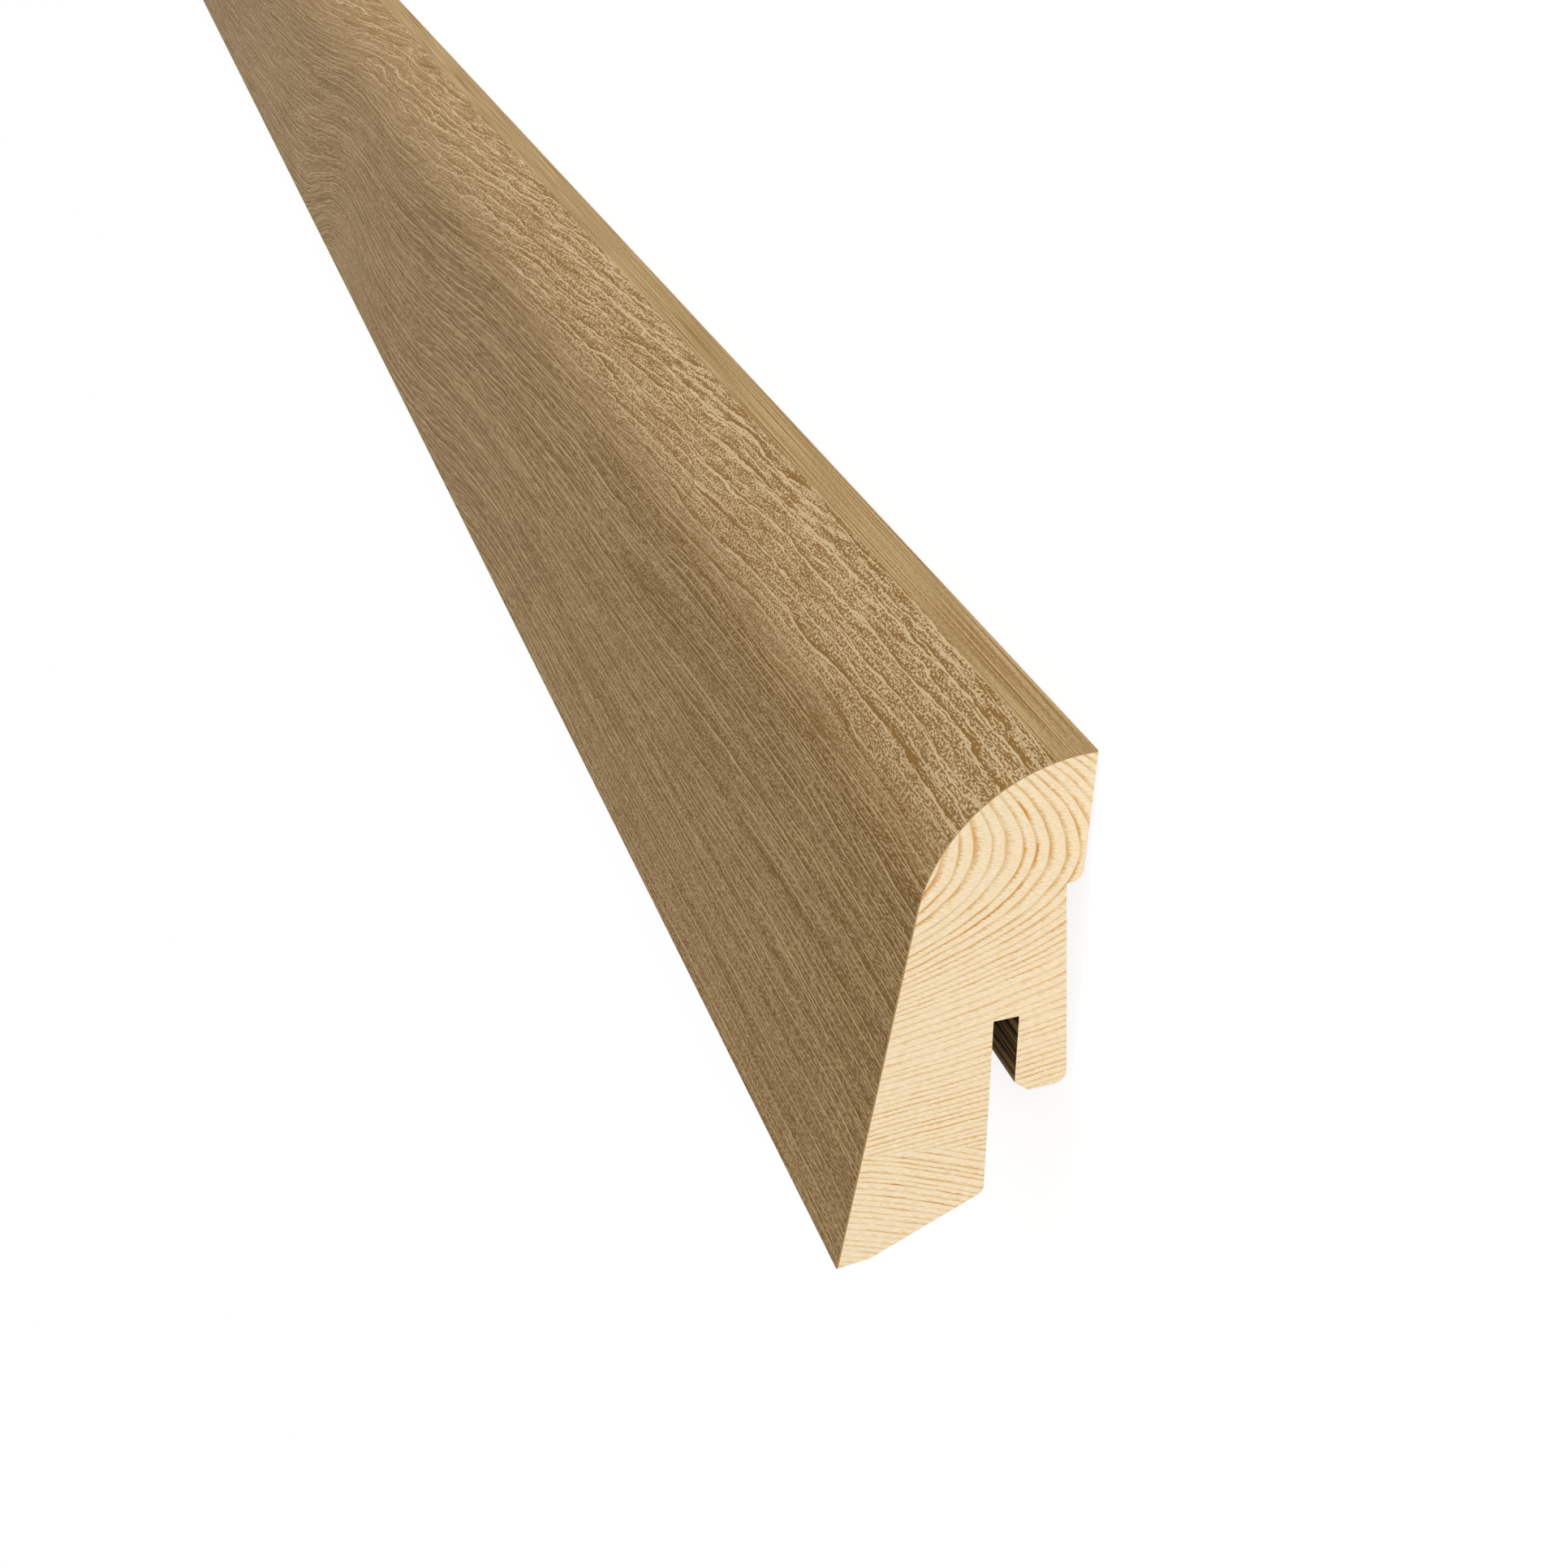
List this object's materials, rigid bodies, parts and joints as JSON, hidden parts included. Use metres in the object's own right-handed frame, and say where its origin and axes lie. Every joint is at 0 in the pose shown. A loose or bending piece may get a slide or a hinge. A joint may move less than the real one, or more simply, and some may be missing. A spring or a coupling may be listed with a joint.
{
  "type": "skirting board length",
  "caption": "Softwood skirting board with an oak decor wrap on its leaning face and round top, a clip groove and a cable rebate at the back.",
  "frame": {"origin": "on the wall plane, in the middle of the board's length and of its height", "axes": "+X along the board to the end that the picture shows, +Y to its top edge, +Z from the wall to the decor face, which lies upwards"},
  "size_m": [2.5, 0.05, 0.022],
  "materials": {
    "softwood": "moulded, unfinished",
    "softwood_foot": "moulded, unfinished",
    "oak_decor": "printed oak decor, matt"
  },
  "bodies": {
    "root": {"softwood_body": "softwood", "softwood_foot": "softwood_foot", "decor_wrap": "oak_decor"}
  },
  "joints": []
}
